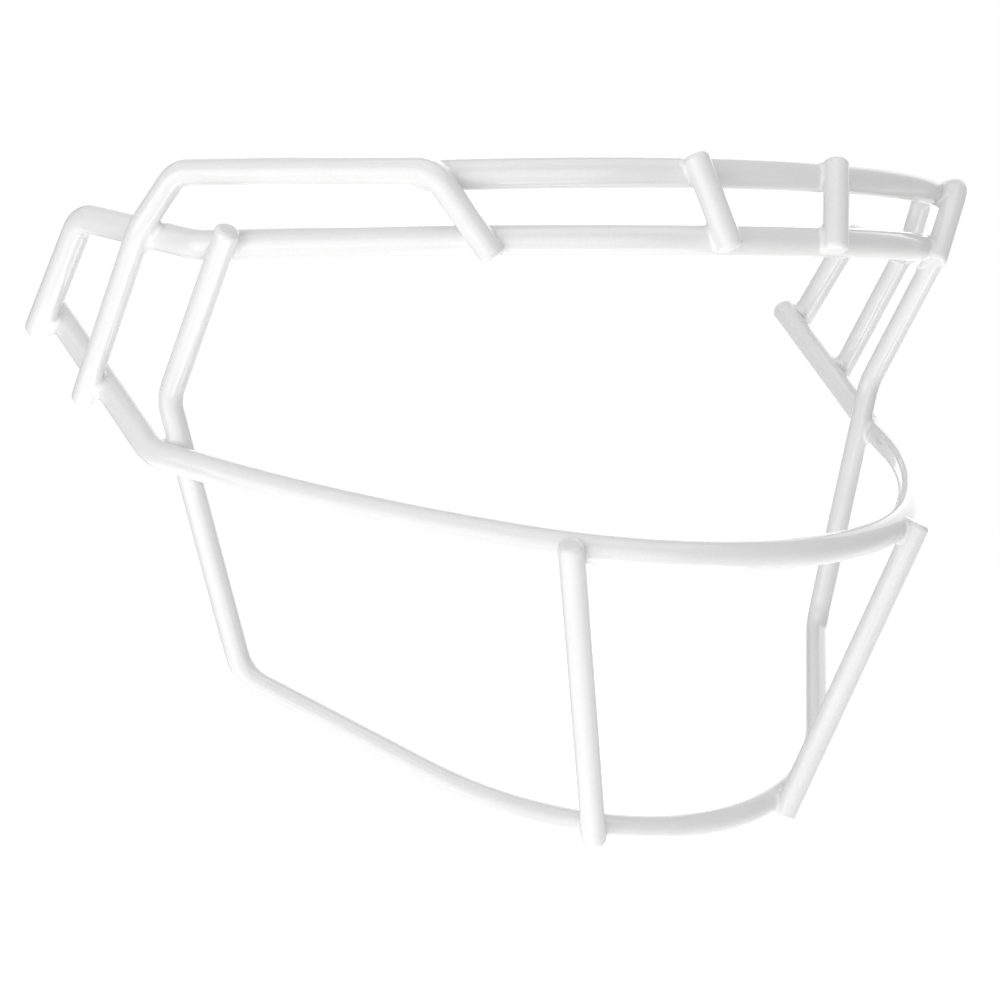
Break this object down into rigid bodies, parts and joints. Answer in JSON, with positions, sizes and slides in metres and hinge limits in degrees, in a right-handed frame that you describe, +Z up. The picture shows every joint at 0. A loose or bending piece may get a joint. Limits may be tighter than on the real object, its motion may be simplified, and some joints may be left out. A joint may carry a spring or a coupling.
{
  "type": "football helmet facemask",
  "caption": "White coated steel wire cage for the front of a football helmet, with bowed brow, mouth and chin wires and open loops at the temples.",
  "frame": {"origin": "on the brow bar's centre line at its foremost point, midway between the two ties, where the helmet's brow clip holds it", "axes": "-Y is the way the wearer looks, +Z is up as worn, and +X is towards the wearer's left"},
  "size_m": [0.2324, 0.1458, 0.1528],
  "materials": {
    "coated_wire": "gloss white polymer coat, 0.4 mm thick, on round steel wire",
    "coated_weld": "gloss white polymer coat that rounds off each weld bead"
  },
  "bodies": {
    "root": {"brow_bar": "coated_wire", "upper_bar": "coated_wire", "mouth_bar": "coated_wire", "chin_wire": "coated_wire", "temple_loop_left": "coated_wire", "temple_loop_right": "coated_wire", "brow_tie_left": "coated_wire", "brow_tie_right": "coated_wire", "chin_strut_left": "coated_wire", "chin_strut_right": "coated_wire", "weld_tie_upper_left": "coated_weld", "weld_tie_upper_right": "coated_weld", "weld_tie_brow_left": "coated_weld", "weld_tie_brow_right": "coated_weld", "weld_loop_upper_left": "coated_weld", "weld_loop_upper_right": "coated_weld", "weld_loop_brow_left": "coated_weld", "weld_loop_brow_right": "coated_weld", "weld_loop_side_left": "coated_weld", "weld_loop_side_right": "coated_weld", "weld_loop_foot_left": "coated_weld", "weld_loop_foot_right": "coated_weld", "weld_leg_mouth_left": "coated_weld", "weld_leg_mouth_right": "coated_weld", "weld_chin_brow_left": "coated_weld", "weld_chin_brow_right": "coated_weld", "weld_chin_mouth_left": "coated_weld", "weld_chin_mouth_right": "coated_weld", "weld_strut_mouth_left": "coated_weld", "weld_strut_mouth_right": "coated_weld", "weld_strut_chin_left": "coated_weld", "weld_strut_chin_right": "coated_weld"}
  },
  "joints": []
}
